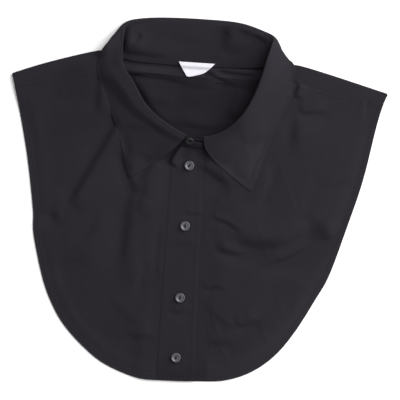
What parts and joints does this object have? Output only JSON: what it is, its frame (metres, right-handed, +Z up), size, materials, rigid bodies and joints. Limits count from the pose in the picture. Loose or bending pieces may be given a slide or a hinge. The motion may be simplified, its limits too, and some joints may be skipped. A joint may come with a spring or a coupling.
{
  "type": "detachable shirt collar",
  "caption": "Black cotton dickey: a point collar with stand on a short buttoned bib with rounded hem, laid flat.",
  "frame": {"origin": "on the surface it lies on, under the centre of its bounding box", "axes": "+X to the right as it is looked down on, across the shoulders; +Y from the hem to the collar; +Z up from the surface"},
  "size_m": [0.4006, 0.3865, 0.024],
  "materials": {
    "black_poplin": "matte, fine plain weave",
    "label_satin": "soft satin sheen",
    "smoke_resin": "polished"
  },
  "bodies": {
    "root": {"back_panel": "black_poplin", "right_front": "black_poplin", "left_front": "black_poplin", "right_button_band": "black_poplin", "left_button_band": "black_poplin", "collar_stand": "black_poplin", "collar_fall": "black_poplin", "neck_label": "label_satin", "neck_button": "smoke_resin", "front_button_1": "smoke_resin", "front_button_2": "smoke_resin", "front_button_3": "smoke_resin", "front_button_4": "smoke_resin"}
  },
  "joints": []
}
